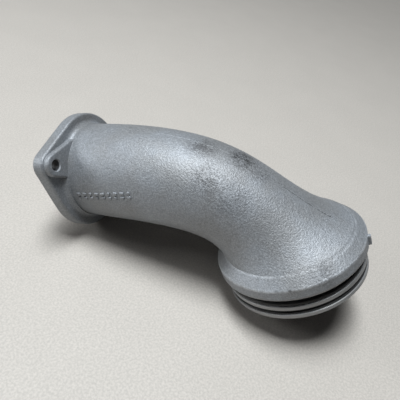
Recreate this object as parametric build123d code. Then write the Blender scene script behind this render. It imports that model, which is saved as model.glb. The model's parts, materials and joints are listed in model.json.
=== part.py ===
"""Flue elbow: a hollow aluminium casting with an eared flange and a grooved spigot, and its seals.

The casting is drawn with the centre of its flange face at the origin, the duct leaving along +X and
bending down towards -Z. It is then laid on the table, resting on the round of the flange and on the
spigot's rim, with +Z up. Millimetres throughout.
"""
import os
from math import atan2, cos, degrees, radians, sin

from build123d import *

os.makedirs("parts", exist_ok=True)

# duct
tube_r = 33.0            # outside radius of the duct at the flange
wall = 3.0               # wall at the flange
spigot_wall = 4.5        # wall where the duct opens into the spigot
bend = 80.3              # angle between the flange's axis and the spigot's axis
root_x = 146.9           # centre of the circle where the duct meets the shoulder
root_z = -45.1
root_r = 44.0
outer_reach = 140.8      # how far the outside of the bend holds the flange's direction
outer_tail = 62.7        # and how far it holds its last direction
outer_flare = 22.6       # that last direction, below +X
inner_reach = 67.7       # the same three sizes for the inside of the bend
inner_tail = 18.9
inner_flare = 56.4
sections = 8             # circles that the duct is drawn through

edge_round = 0.4         # round on the machined edges
lap = 1.0                # how far bodies that join run into each other, and cuts run past a face
hair = 0.01              # for picking corners by their radius

# flange
flange_t = 7.5
flange_r = 40.5          # round part of the outline
flange_round = 1.6       # round on the edge that faces the duct
ear_r = 8.8              # round tips of the ears
bolt_pcd = 87.0          # distance between the two bolt holes
bolt_hole_r = 3.5        # clearance for M6
ear_turn = 32.2          # the ears are turned this far out of square with the bend
pad_top = 11.0           # height of the ears' thickened pads above the flange face
pad_r = 7.6
pad_reach = 18.0         # how far the pads run in from the hole towards the duct
pad_spread = 11.5        # and how far they widen to one side there
pad_round = 1.4
hole_lip = 0.8           # widening at the holes' cast mouths
root_fillet = 3.5
root_lift = 0.06         # the fillet ring's thickness where it runs out on the duct and the flange
mouth = 10.0             # length of the bored mouth in the flange
mouth_r = 30.2
face_groove_r = 35.2     # seal groove in the flange face
face_groove_w = 3.2
face_groove_d = 2.4
face_seal_r = 1.5        # radius of the seal's round section

# spigot, heights measured from its end
rim_r = 47.9             # outside of the two ribs
groove_r = 43.5
rib_2_top = 2.8
rib_1_foot = 6.5
rib_1_top = 9.3
collar_foot = 16.5
collar_top = 24.5
collar_r = 50.3
collar_round = 1.2
root_h = 30.8            # top of the sloping shoulder
spigot_bore_r = 39.9
bore_past = 0.6          # how far the spigot's bore runs past the shoulder into the duct
seal_gap = 0.25          # clearance of each seal ring at the sides of its groove
seal_r = 47.3            # outside of the seal rings
lip_share = 0.28         # height of each lip of a seal ring, as a share of the ring's
waist_start = 1.4        # where the waist between the lips starts, in lips
lip_round = 0.4          # round on the lips, in lips
flash_w = 2.8            # lump of flash where the mould halves meet on the collar
flash_h = 6.4
flash_out = 1.8
flash_round = 0.6

# ---------------------------------------------------------------- directions
bend_y = Vector(0, 1, 0)
spigot_out = Vector(cos(radians(bend)), 0, -sin(radians(bend)))
spigot_side = Vector(sin(radians(bend)), 0, cos(radians(bend)))
root = Vector(root_x, 0, root_z)
spigot_end = root + spigot_out * root_h
ear_way = Vector(0, -cos(radians(ear_turn)), sin(radians(ear_turn)))
flange_plane = Plane(origin=(0, 0, 0), x_dir=ear_way, z_dir=(1, 0, 0))


def curve_point(start, reach, end, tail, flare, u):
    """Point at u on a curve that leaves start along +X and reaches end at the flare angle."""
    first = start + Vector(reach, 0, 0)
    last = end - Vector(cos(radians(flare)), 0, -sin(radians(flare))) * tail
    v = 1 - u
    return start * v**3 + first * (3 * v * v * u) + last * (3 * v * u * u) + end * u**3


def duct_section(u, thickness):
    """Circle across the duct at u, this thickness inside its outer surface."""
    top = curve_point(Vector(0, 0, tube_r), outer_reach, root + spigot_side * root_r,
                      outer_tail, outer_flare, u)
    low = curve_point(Vector(0, 0, -tube_r), inner_reach, root - spigot_side * root_r,
                      inner_tail, inner_flare, u)
    across = top - low
    plane = Plane(origin=(top + low) * 0.5, x_dir=across, z_dir=bend_y.cross(across))
    return plane * Circle(across.length / 2 - thickness)


def across_duct(x):
    """Plane square across the flange's axis."""
    return Plane(origin=(x, 0, 0), x_dir=(0, 0, 1), z_dir=(1, 0, 0))


def duct_wall(u):
    """Wall thickness at u."""
    return wall + (spigot_wall - wall) * u


def disc(radius, low, high):
    """Round disc about the spigot's axis, between two heights above the spigot's end."""
    plane = Plane(origin=spigot_end - spigot_out * low, x_dir=bend_y, z_dir=spigot_out * -1)
    return extrude(plane * Circle(radius), high - low)


def about_spigot(profile):
    """Turn an (r, h) profile about the spigot's axis."""
    plane = Plane(origin=spigot_end, x_dir=spigot_side, z_dir=bend_y * -1)
    return revolve(plane * profile, Axis(spigot_end, spigot_out))


def about_duct(profile):
    """Turn an (x, r) profile about the flange's axis."""
    return revolve(Plane.XZ * profile, Axis.X)


# ---------------------------------------------------------------- casting
steps = [(i + 1) / sections for i in range(sections)]
duct_start = across_duct(flange_t / 3) * Circle(tube_r)
duct = loft([duct_start] + [duct_section(u, 0) for u in steps])
bore_start = across_duct(mouth - lap) * Circle(tube_r - wall)
bore = loft([bore_start] + [duct_section(u, duct_wall(u)) for u in steps])
mouth_bore = extrude(across_duct(-lap) * Circle(mouth_r), mouth + lap)
spigot_bore = disc(spigot_bore_r, -lap, root_h + bore_past)

ear_at = bolt_pcd / 2
outline = make_hull(
    Circle(flange_r).edges()
    + (Pos(ear_at, 0) * Circle(ear_r)).edges()
    + (Pos(-ear_at, 0) * Circle(ear_r)).edges()
)
plate = extrude(flange_plane * outline, flange_t)
plate = fillet(plate.faces().sort_by(Axis.X)[-1].edges(), flange_round)
plate = fillet(plate.faces().sort_by(Axis.X)[0].edges(), edge_round)

pad_in = ear_at - pad_reach
pad_outline = make_hull(
    (Pos(ear_at, 0) * Circle(pad_r)).edges()
    + (Pos(pad_in, -pad_spread) * Circle(pad_r)).edges()
    + (Pos(pad_in, 0) * Circle(pad_r)).edges()
)
pad = extrude(flange_plane * pad_outline, pad_top)
pad = fillet(pad.faces().sort_by(Axis.X)[-1].edges(), pad_round)
pads = [pad, pad.rotate(Axis.X, 180)]

ring_end = flange_t + root_fillet
ring_profile = Polygon(
    (0, tube_r - lap),
    (ring_end, tube_r - lap),
    (ring_end, tube_r + root_lift),
    (flange_t - root_lift, tube_r + root_fillet),
    align=None,
)
ring_profile -= Pos(ring_end, tube_r + root_fillet + root_lift) * Circle(root_fillet)
root_ring = about_duct(ring_profile)

collar_profile = Polygon(
    (0, 0),
    (rim_r, 0),
    (rim_r, rib_2_top),
    (groove_r, rib_2_top),
    (groove_r, rib_1_foot),
    (rim_r, rib_1_foot),
    (rim_r, rib_1_top),
    (groove_r, rib_1_top),
    (groove_r, collar_foot),
    (collar_r, collar_foot),
    (collar_r, collar_top),
    (root_r - lap, root_h + lap),
    (0, root_h + lap),
    align=None,
)
rim_corners = collar_profile.vertices().filter_by(lambda v: abs(v.X - rim_r) < hair)
collar_profile = fillet(rim_corners, edge_round)
collar_corners = collar_profile.vertices().filter_by(lambda v: abs(v.X - collar_r) < hair)
collar_profile = fillet(collar_corners, collar_round)
spigot = about_spigot(collar_profile)

flash_plane = Plane(
    origin=spigot_end - spigot_out * (collar_top - flash_h) + spigot_side * collar_r,
    x_dir=bend_y,
    z_dir=spigot_out * -1,
)
flash = extrude(flash_plane * Rectangle(flash_w, 2 * flash_out), flash_h)
flash = fillet(flash.edges().filter_by(Axis(spigot_end, spigot_out)), flash_round)

casting = duct + plate + root_ring + pads + spigot + flash - bore - mouth_bore - spigot_bore
for side in (1, -1):
    casting -= extrude(flange_plane * Pos(side * ear_at, 0) * Circle(bolt_hole_r), 2 * pad_top)
    mouth_cone = Cone(bolt_hole_r, bolt_hole_r + hole_lip, hole_lip)
    casting -= flange_plane * Pos(side * ear_at, 0, pad_top - hole_lip / 2) * mouth_cone
groove_profile = Rectangle(face_groove_d + lap, face_groove_w)
casting -= about_duct(Pos((face_groove_d - lap) / 2, face_groove_r) * groove_profile)

# ---------------------------------------------------------------- seals
flange_seal = about_duct(Pos(face_groove_d - face_seal_r, face_groove_r) * Circle(face_seal_r))


def seal_ring(low, high):
    """Rubber ring filling a groove between two heights, with a lip at each side."""
    foot = low + seal_gap
    top = high - seal_gap
    lip = (top - foot) * lip_share
    waist = (groove_r + seal_r) / 2
    profile = Polygon(
        (groove_r, foot),
        (seal_r, foot),
        (seal_r, foot + lip),
        (waist, foot + waist_start * lip),
        (waist, top - waist_start * lip),
        (seal_r, top - lip),
        (seal_r, top),
        (groove_r, top),
        align=None,
    )
    lips = profile.vertices().filter_by(lambda v: abs(v.X - seal_r) < hair)
    return about_spigot(fillet(lips, lip * lip_round))


parts = {
    "elbow_casting": casting,
    "upper_seal_ring": seal_ring(rib_1_top, collar_foot),
    "lower_seal_ring": seal_ring(rib_2_top, rib_1_foot),
    "flange_seal_ring": flange_seal,
}

# ---------------------------------------------------------------- laid on the table
flange_foot = Vector(edge_round, 0, edge_round - flange_r)
rim_foot = spigot_end - spigot_side * (rim_r - edge_round) - spigot_out * edge_round
lean = degrees(atan2(flange_foot.Z - rim_foot.Z, rim_foot.X - flange_foot.X))
laid = Rotation(0, -lean, 0)
box = (laid * casting).bounding_box()
lay = Pos(-box.center().X, -box.center().Y, -box.min.Z) * laid

for name, solid in parts.items():
    export_step(lay * solid, f"parts/{name}.step")
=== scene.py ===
"""Looks of the flue elbow: cast aluminium with machined seal ribs, rubber seals, on a pale table.

Metres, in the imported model's frame: the elbow lies on z = 0 with its bend in the XZ plane.
"""

import json
import math
import random

import bmesh
import bpy
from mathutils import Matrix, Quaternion, Vector
from mathutils.bvhtree import BVHTree


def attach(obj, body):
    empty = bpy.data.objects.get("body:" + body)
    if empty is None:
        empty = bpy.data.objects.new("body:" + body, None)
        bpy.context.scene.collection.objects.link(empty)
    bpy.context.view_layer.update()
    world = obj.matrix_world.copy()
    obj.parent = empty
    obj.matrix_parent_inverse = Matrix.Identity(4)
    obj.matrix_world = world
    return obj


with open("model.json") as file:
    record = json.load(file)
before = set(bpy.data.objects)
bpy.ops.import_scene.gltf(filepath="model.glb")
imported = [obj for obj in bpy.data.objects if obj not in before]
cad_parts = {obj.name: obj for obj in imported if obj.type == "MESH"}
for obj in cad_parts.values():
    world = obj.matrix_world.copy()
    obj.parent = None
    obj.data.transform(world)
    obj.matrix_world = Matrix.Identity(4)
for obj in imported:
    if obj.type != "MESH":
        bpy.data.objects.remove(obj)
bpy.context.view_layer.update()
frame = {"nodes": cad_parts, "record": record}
MM = 0.001

# ------------------------------------------------------------ places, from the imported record
mounts = {m["name"]: m for m in frame["record"]["mounts"]}
flange_centre = Vector(mounts["flange_bolts"]["pos_m"])
duct_way = -Vector(mounts["flange_bolts"]["axis"])
spigot_out = Vector(mounts["spigot_ribs"]["axis"])
rib_length = mounts["spigot_ribs"]["dims"]["length_mm"] * MM
spigot_end = Vector(mounts["spigot_ribs"]["pos_m"]) + spigot_out * rib_length / 2
side_way = Vector((0, 1, 0))
over_way = duct_way.cross(side_way)  # square to the duct, in the plane of the bend, upwards

bolt_reach = mounts["flange_bolts"]["dims"]["pcd_mm"] * MM / 2
bolt_hole_r = mounts["flange_bolts"]["dims"]["hole_r_mm"] * MM
ear_turn = math.radians(32.2)
ear_way = over_way * math.sin(ear_turn) - side_way * math.cos(ear_turn)
ear_height = 12 * MM  # just past the ears' pads, along the duct

# heights above the spigot's end, and radii about its axis
turned_top = 17.8 * MM  # the lathe cleaned the ribs and the foot of the collar up to here
collar_top = 24.5 * MM
collar_r = 50.3 * MM
root_h = 30.8 * MM  # where the sloping shoulder ends and the duct starts
root_r = 44.0 * MM


def on_flange(x, y, z):
    """Point from distances along the duct, sideways and upwards off its axis, in millimetres."""
    return flange_centre + (duct_way * x + side_way * y + over_way * z) * MM


# ------------------------------------------------------------ camera
camera_place = Vector((0.0348, -0.2297, 0.2336))
camera_aim = Vector((-0.0092, 0.0125, 0.0400))
camera_roll = math.radians(15.0)
camera_data = bpy.data.cameras.new("camera")
camera_data.sensor_width = 36.0
camera_data.lens = 38.56
camera = bpy.data.objects.new("camera", camera_data)
camera.location = camera_place
camera.rotation_mode = "QUATERNION"
look = (camera_aim - camera_place).to_track_quat("-Z", "Y")
camera.rotation_quaternion = look @ Quaternion((0, 0, 1), camera_roll)
bpy.context.collection.objects.link(camera)
scene = bpy.context.scene
scene.camera = camera
scene.view_settings.view_transform = "Standard"

# ------------------------------------------------------------ lights
object_middle = Vector((0, 0, 0.04))
cool_white = (0.915, 0.965, 1.0)
overhead = Vector((-0.16, -0.05, 0.98)).normalized()
low_side = Vector((-0.91, -0.30, 0.30)).normalized()


def add_lamp(name, kind, way, distance, colour):
    """Lamp in this direction from the object's middle, turned towards it."""
    data = bpy.data.lights.new(name, kind)
    data.color = colour
    lamp = bpy.data.objects.new(name, data)
    lamp.location = object_middle + way * distance
    lamp.rotation_euler = (-way).to_track_quat("-Z", "Y").to_euler()
    bpy.context.collection.objects.link(lamp)
    return data


def soft_box(name, way, distance, length, width, watts, colour):
    """Rectangular studio light."""
    data = add_lamp(name, "AREA", way, distance, colour)
    data.shape = "RECTANGLE"
    data.size = length
    data.size_y = width
    data.energy = watts


soft_box("key", overhead, distance=1.0, length=0.55, width=0.24, watts=9.2, colour=cool_white)
soft_box("side", low_side, distance=1.2, length=0.35, width=0.35, watts=5.0, colour=(0.93, 0.97, 1.0))

# even light from the ceiling, so that the table stays pale far from the object
ceiling = add_lamp("ceiling", "SUN", overhead, distance=0.0, colour=cool_white)
ceiling.energy = 2.1
ceiling.angle = math.radians(24)

world = bpy.data.worlds.new("studio")
world.use_nodes = True
background = world.node_tree.nodes["Background"]
background.inputs["Color"].default_value = (0.90, 0.93, 1.0, 1)
background.inputs["Strength"].default_value = 0.035
scene.world = world


# ------------------------------------------------------------ node helpers
class Nodes:
    """A material's node tree, with short ways to add the nodes used here."""

    def __init__(self, name):
        self.material = bpy.data.materials.new(name)
        self.material.use_nodes = True
        self.tree = self.material.node_tree
        self.shader = self.tree.nodes["Principled BSDF"]
        self.place = self.add("ShaderNodeTexCoord").outputs["Object"]

    def add(self, kind, **values):
        """New node with these properties."""
        node = self.tree.nodes.new(kind)
        for key, value in values.items():
            setattr(node, key, value)
        return node

    def set(self, socket, value):
        """Links the value if it is a socket, and stores it if it is a number or colour."""
        if isinstance(value, bpy.types.NodeSocket):
            self.tree.links.new(value, socket)
        else:
            socket.default_value = value

    def noise(self, size, detail=2.0, rough=0.55, seed=0.0):
        """Noise with features of this size in metres."""
        node = self.add("ShaderNodeTexNoise", noise_dimensions="4D")
        self.set(node.inputs["Vector"], self.place)
        node.inputs["W"].default_value = seed
        node.inputs["Scale"].default_value = 1 / size
        node.inputs["Detail"].default_value = detail
        node.inputs["Roughness"].default_value = rough
        return node.outputs["Fac"]

    def math(self, operation, a, b=0.0, c=0.0, clamp=False):
        """Result of a calculation on up to three numbers or sockets."""
        node = self.add("ShaderNodeMath", operation=operation, use_clamp=clamp)
        for socket, value in zip(node.inputs, (a, b, c)):
            self.set(socket, value)
        return node.outputs[0]

    def times(self, a, b):
        """Product of two numbers or sockets."""
        return self.math("MULTIPLY", a, b)

    def ramp(self, value, low, high, to_low=0.0, to_high=1.0):
        """Smooth step from to_low to to_high while the value goes from low to high."""
        node = self.add("ShaderNodeMapRange", interpolation_type="SMOOTHSTEP")
        for socket, number in zip(node.inputs, (value, low, high, to_low, to_high)):
            self.set(socket, number)
        return node.outputs[0]

    def mix(self, factor, a, b, blend="MIX"):
        """Colour between a and b, or b blended over a."""
        node = self.add("ShaderNodeMix", data_type="RGBA", blend_type=blend)
        self.set(node.inputs[0], factor)
        self.set(node.inputs[6], a)
        self.set(node.inputs[7], b)
        return node.outputs[2]

    def grey(self, value):
        """The same number in red, green and blue."""
        node = self.add("ShaderNodeCombineColor")
        for socket in node.inputs:
            self.set(socket, value)
        return node.outputs[0]

    def vector(self, operation, a, b=None, scale=None):
        """Result of a vector calculation, a number for a dot product, a distance or a length."""
        node = self.add("ShaderNodeVectorMath", operation=operation)
        self.set(node.inputs[0], a)
        if b is not None:
            self.set(node.inputs[1], b)
        if scale is not None:
            self.set(node.inputs["Scale"], scale)
        scalar = operation in ("DOT_PRODUCT", "DISTANCE", "LENGTH")
        return node.outputs["Value"] if scalar else node.outputs["Vector"]

    def near(self, point, inner, outer):
        """1 within the inner distance of a point, falling to 0 at the outer distance."""
        return self.ramp(self.vector("DISTANCE", self.place, point), inner, outer, 1.0, 0.0)

    def off_line(self, point, way):
        """Distance from the line through a point along a unit vector."""
        offset = self.vector("SUBTRACT", self.place, point)
        run = self.vector("SCALE", way, scale=self.vector("DOT_PRODUCT", offset, way))
        return self.vector("LENGTH", self.vector("SUBTRACT", offset, run))

    def along_line(self, point, way):
        """Distance past a point along a unit vector."""
        return self.vector("DOT_PRODUCT", self.vector("SUBTRACT", self.place, point), way)

    def bump(self, height, distance, strength, under=None):
        """Normal for a relief, over another normal if one is given."""
        node = self.add("ShaderNodeBump")
        self.set(node.inputs["Height"], height)
        node.inputs["Distance"].default_value = distance
        node.inputs["Strength"].default_value = strength
        if under is not None:
            self.set(node.inputs["Normal"], under)
        return node.outputs["Normal"]


# ------------------------------------------------------------ cast aluminium
def soiled(n, grain, cloud):
    """How dark the handled places are: the outside of the bend, and a spot on the shoulder."""
    places = (
        # point, inner and outer distance in millimetres, depth
        (on_flange(123, 2, 8), 4, 15, 0.50),
        (on_flange(133, -2, 3), 3, 12, 0.36),
        (on_flange(99, -4, 19), 3, 15, 0.34),
        (on_flange(107, -22, 8), 3, 15, 0.40),
        (on_flange(120, -24, -1), 3, 18, 0.30),
        (on_flange(175, -38, -44), 2, 12, 0.26),
    )
    soil = 0.0
    for point, inner, outer, depth in places:
        spot = n.times(n.near(point, inner * MM, outer * MM), depth)
        soil = n.math("MAXIMUM", soil, spot)
    mottle = n.ramp(n.math("ADD", grain, n.times(cloud, 0.8)), 0.66, 1.08, 1.5, 0.1)
    return n.math("MULTIPLY", soil, mottle, clamp=True)


def bolt_hole_painted_shade(n, along):
    """Painted shade: dark on the walls of the two bolt holes, and 1 everywhere else."""
    near_hole = n.off_line(flange_centre + ear_way * bolt_reach, duct_way)
    far_hole = n.off_line(flange_centre - ear_way * bolt_reach, duct_way)
    gap = n.math("MINIMUM", near_hole, far_hole)
    past_ears = n.ramp(along, ear_height, ear_height + 1 * MM, 0.0, 10 * MM)
    gap = n.math("ADD", gap, past_ears)
    return n.ramp(gap, bolt_hole_r + 0.05 * MM, bolt_hole_r + 0.25 * MM, 0.22, 1.0)


def flaws(n):
    """A pore in the duct's side, and a chip in the collar's edge."""
    pore = n.near(on_flange(56.9, -28.4, 14.4), 0.35 * MM, 0.85 * MM)
    chip = n.near(on_flange(157.1, -49.3, -49.8), 0.6 * MM, 1.5 * MM)
    return n.math("MAXIMUM", pore, n.times(chip, 0.55))


def painted_edge_highlight(n, height, radius, cloud):
    """Painted highlight along the collar's upper edge, and fainter along the top of the shoulder."""
    collar_gap = n.math("ABSOLUTE", n.math("SUBTRACT", height, collar_top - 0.4 * MM))
    collar_edge = n.ramp(collar_gap, 0.2 * MM, 1.3 * MM, 1.0, 0.0)
    collar_edge = n.times(collar_edge, n.ramp(radius, collar_r - 1.7 * MM, collar_r - 0.7 * MM))
    root_gap = n.math("ABSOLUTE", n.math("SUBTRACT", height, root_h - 0.3 * MM))
    root_edge = n.ramp(root_gap, 0.1 * MM, 1.0 * MM, 1.0, 0.0)
    root_edge = n.times(root_edge, n.ramp(radius, root_r - 1.5 * MM, root_r - 0.5 * MM))
    highlight = n.math("MAXIMUM", collar_edge, n.times(root_edge, 0.6))
    return n.times(highlight, n.ramp(cloud, 0.35, 0.62, 0.25, 1.0))


def cast_aluminium():
    """Bead-blasted casting: speckled grain, soiled patches, painted highlights on the edges, painted
    shade in the bolt holes, turned ribs.
    """
    n = Nodes("cast_aluminium")
    height = n.times(n.along_line(spigot_end, spigot_out), -1.0)
    radius = n.off_line(spigot_end, spigot_out)
    along = n.along_line(flange_centre, duct_way)

    # the turned part of the spigot, and the faced flange
    turned = n.ramp(height, turned_top + 0.4 * MM, turned_top - 0.4 * MM)
    faced = n.ramp(along, 0.5 * MM, 0.2 * MM)
    machined = n.math("MAXIMUM", turned, faced)
    cast = n.math("SUBTRACT", 1.0, machined)

    grain = n.noise(1.15 * MM, detail=3.0, rough=0.6)
    speckle = n.noise(0.75 * MM, detail=1.5, rough=0.5, seed=3.0)
    patch = n.noise(26 * MM, detail=3.0, rough=0.6, seed=7.0)
    cloud = n.noise(7 * MM, detail=2.0, rough=0.6, seed=11.0)

    # tone: dark pits and bright dots on the cast skin, then the broader and local changes
    pits = n.ramp(grain, 0.36, 0.66, 0.86, 1.10)
    dots = n.ramp(speckle, 0.34, 0.68, 0.87, 1.14)
    tone = n.math("ADD", n.times(n.times(pits, dots), cast), machined)
    tone = n.times(tone, n.ramp(patch, 0.3, 0.7, 0.90, 1.08))
    soil = soiled(n, grain, cloud)
    tone = n.times(tone, n.math("SUBTRACT", 1.0, soil))
    # painted shade darkens the walls of the bolt holes
    tone = n.times(tone, bolt_hole_painted_shade(n, along))
    tone = n.times(tone, n.math("SUBTRACT", 1.0, n.times(flaws(n), 0.9)))
    # painted highlight brightens the collar's edge and the top of the shoulder
    tone = n.times(tone, n.math("MULTIPLY_ADD", painted_edge_highlight(n, height, radius, cloud), 0.75, 1.0))

    # colour: a slow drift between a neutral and a cool grey, greyer where it is soiled or machined
    neutral = (0.262, 0.268, 0.276, 1)
    cool = (0.253, 0.267, 0.286, 1)
    tint = n.mix(n.ramp(patch, 0.35, 0.65), neutral, cool)
    tint = n.mix(n.times(soil, 0.6), tint, (0.22, 0.22, 0.232, 1))
    tint = n.mix(machined, tint, (0.27, 0.27, 0.27, 1))
    n.set(n.shader.inputs["Base Color"], n.mix(1.0, tint, n.grey(tone), blend="MULTIPLY"))

    n.shader.inputs["Metallic"].default_value = 0.35
    rough = n.ramp(speckle, 0.3, 0.7, 0.43, 0.56)
    n.set(n.shader.inputs["Roughness"], n.math("MULTIPLY_ADD", machined, -0.10, rough))

    # relief: rounded blasted grain over a faint orange peel, and fine turning lines on the ribs
    grain_relief = n.times(n.math("ADD", grain, n.times(speckle, 0.5)), cast)
    normal = n.bump(grain_relief, 0.55 * MM, 0.62)
    normal = n.bump(cloud, 0.35 * MM, 0.35, under=normal)
    feed = 0.35 * MM
    lines = n.math("SINE", n.times(height, 2 * math.pi / feed))
    normal = n.bump(n.times(lines, turned), 0.010 * MM, 0.6, under=normal)
    n.set(n.shader.inputs["Normal"], normal)
    return n.material


# ------------------------------------------------------------ rubber and table top
def seal_rubber():
    """Matt black rubber with a dusty bloom and a fine moulded grain."""
    n = Nodes("seal_rubber")
    dust = n.noise(5 * MM, detail=4.0, rough=0.65, seed=2.0)
    grain = n.noise(0.5 * MM, detail=2.0, seed=5.0)
    bloom = n.ramp(dust, 0.42, 0.75, 0.0, 0.7)
    colour = n.mix(bloom, (0.012, 0.012, 0.012, 1), (0.032, 0.031, 0.030, 1))
    n.set(n.shader.inputs["Base Color"], colour)
    n.set(n.shader.inputs["Roughness"], n.ramp(dust, 0.3, 0.7, 0.55, 0.75))
    n.set(n.shader.inputs["Normal"], n.bump(grain, 0.05 * MM, 0.5))
    return n.material


def table_top():
    """Pale laminate with a faint speckle."""
    n = Nodes("table_top")
    fine = n.noise(1.3 * MM, detail=2.0, rough=0.6, seed=4.0)
    wide = n.noise(60 * MM, detail=2.0, seed=9.0)
    tone = n.times(n.ramp(fine, 0.3, 0.7, 0.88, 1.10), n.ramp(wide, 0.3, 0.7, 0.985, 1.01))
    pale = (0.450, 0.417, 0.380, 1)
    n.set(n.shader.inputs["Base Color"], n.mix(1.0, pale, n.grey(tone), blend="MULTIPLY"))
    n.shader.inputs["Roughness"].default_value = 0.6
    return n.material


cast_metal = cast_aluminium()
rubber = seal_rubber()
finishes = {
    "elbow_casting": cast_metal,
    "upper_seal_ring": rubber,
    "lower_seal_ring": rubber,
    "flange_seal_ring": rubber,
}
for name, material in finishes.items():
    for material_slot in frame["nodes"][name].material_slots:
        material_slot.material = material

# ------------------------------------------------------------ pieces added to the casting
casting = frame["nodes"]["elbow_casting"]
surface = BVHTree.FromPolygons(
    [v.co for v in casting.data.vertices],
    [p.vertices for p in casting.data.polygons],
)


def surface_point(outside, towards):
    """Where the casting's skin is met from a point outside it, and the way out of the skin there."""
    way = (towards - outside).normalized()
    point, normal, _, _ = surface.ray_cast(outside, way)
    return point, (normal if normal.dot(way) < 0 else -normal)


def add_piece(name, bm):
    """Object of cast metal from a bmesh, riding on the elbow."""
    mesh = bpy.data.meshes.new(name)
    bmesh.ops.recalc_face_normals(bm, faces=bm.faces)
    bm.to_mesh(mesh)
    bm.free()
    mesh.shade_smooth()
    mesh.materials.append(cast_metal)
    piece = bpy.data.objects.new(name, mesh)
    bpy.context.collection.objects.link(piece)
    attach(piece, "root")


def skin(bm, rows):
    """Closed skin over rings of points, with both ends capped."""
    grid = [[bm.verts.new(p) for p in row] for row in rows]
    for a, b in zip(grid, grid[1:]):
        for i in range(len(a) - 1):
            bm.faces.new((a[i], a[i + 1], b[i + 1], b[i]))
        bm.faces.new((a[-1], a[0], b[0], b[-1]))
    bm.faces.new(grid[0])
    bm.faces.new(reversed(grid[-1]))


def parting_line():
    """Low irregular ridge where the mould halves met, along the outside of the bend."""
    random.seed(5)
    bm = bmesh.new()
    steps = 150
    across = 5  # points over the ridge
    sunk = 0.12 * MM  # the ridge's edges lie this far under the skin
    rise_at_flange = 0.16 * MM
    rise_at_collar = 0.50 * MM
    half_at_flange = 0.32 * MM
    half_at_collar = 0.54 * MM
    # the skin is met on the way from a line above the duct to a line inside it
    above_flange = on_flange(14, 0, 90)
    above_collar = on_flange(210, 0, 30)
    inside_flange = on_flange(14, 0, -10)
    inside_collar = on_flange(164, 0, -50)
    rows = []
    for i in range(steps + 1):
        t = i / steps
        outside = above_flange.lerp(above_collar, t)
        towards = inside_flange.lerp(inside_collar, t)
        point, out = surface_point(outside, towards)
        rise = rise_at_flange + (rise_at_collar - rise_at_flange) * t * t
        rise *= random.uniform(0.75, 1.25)
        half = half_at_flange + (half_at_collar - half_at_flange) * t
        row = []
        for k in range(across):
            s = 2 * k / (across - 1) - 1
            lift = rise * (1 - s * s) - sunk * s * s
            row.append(point + side_way * half * s + out * lift)
        rows.append(row)
    skin(bm, rows)
    add_piece("parting_line", bm)


def block(bm, point, out, half_wide, half_tall, rise):
    """Raised block with sloping, rounded sides on the duct's skin."""
    across = duct_way - out * duct_way.dot(out)
    across.normalize()
    up = out.cross(across)
    rings = ((1.0, -0.25), (0.97, 0.35), (0.86, 0.80), (0.60, 1.0))  # size, height
    corners = 16
    squareness = 0.5  # 1 gives an ellipse, and smaller a squarer outline
    rows = []
    for shrink, lift in rings:
        row = []
        for k in range(corners):
            angle = 2 * math.pi * k / corners
            c = abs(math.cos(angle)) ** squareness * math.copysign(1, math.cos(angle))
            s = abs(math.sin(angle)) ** squareness * math.copysign(1, math.sin(angle))
            flat = across * half_wide * c * shrink + up * half_tall * s * shrink
            row.append(point + flat + out * rise * lift)
        rows.append(row)
    skin(bm, rows)


def cast_marks():
    """Two rows of raised plain blocks low on the side of the duct, where a casting mark stands."""
    bm = bmesh.new()
    count = 9
    first_x = 16.5
    row_length = 40.0
    first_z = -2.3
    row_climb = 3.5
    row_gap = 2.9
    half_wide = 1.55
    half_narrow = 0.95
    half_tall = 1.15
    rise = 0.85
    beside = -60  # well off the duct's skin, on its near side
    for i in range(count):
        t = i / (count - 1)
        x = first_x + row_length * t
        for k in range(2):
            z = first_z + row_climb * t + (k - 0.5) * row_gap
            half = half_wide if (i + k) % 3 else half_narrow
            point, out = surface_point(on_flange(x, beside, z), on_flange(x, 0, z))
            block(bm, point, out, half * MM, half_tall * MM, rise * MM)
    add_piece("cast_marks", bm)


parting_line()
cast_marks()


# ------------------------------------------------------------ table
def table():
    """Flat table top at z = 0."""
    half_side = 3.0
    bm = bmesh.new()
    bmesh.ops.create_grid(bm, x_segments=2, y_segments=2, size=half_side)
    mesh = bpy.data.meshes.new("table")
    bm.to_mesh(mesh)
    bm.free()
    mesh.materials.append(table_top())
    top = bpy.data.objects.new("table", mesh)
    bpy.context.collection.objects.link(top)


table()
